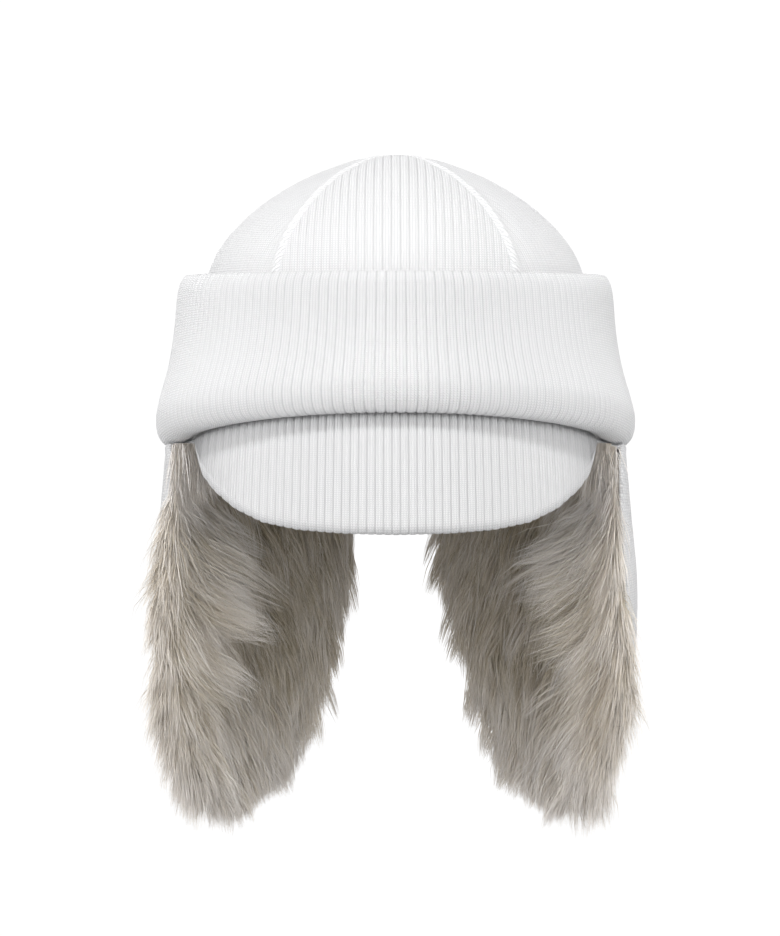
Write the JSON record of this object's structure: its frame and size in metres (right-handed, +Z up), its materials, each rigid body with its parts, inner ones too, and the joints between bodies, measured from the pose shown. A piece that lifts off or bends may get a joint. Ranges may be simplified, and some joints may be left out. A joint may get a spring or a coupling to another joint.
{
  "type": "earflap beanie",
  "caption": "Ribbed knit beanie with a wide turned-up cuff, a soft peak and long fur-lined flaps that hang over the ears and neck.",
  "frame": {"origin": "inside top of the crown, where it bears on the head", "axes": "+Z up out of the crown, the wearer faces -Y, +X towards the wearer's left"},
  "size_m": [0.216, 0.2711, 0.305],
  "materials": {
    "white_knit": "matte rib knit",
    "grey_beige_fur": "deep soft pile"
  },
  "bodies": {
    "root": {"crown": "white_knit", "cuff": "white_knit", "peak": "white_knit", "left_flap_shell": "white_knit", "left_flap_fur": "grey_beige_fur", "right_flap_shell": "white_knit", "right_flap_fur": "grey_beige_fur"}
  },
  "joints": []
}
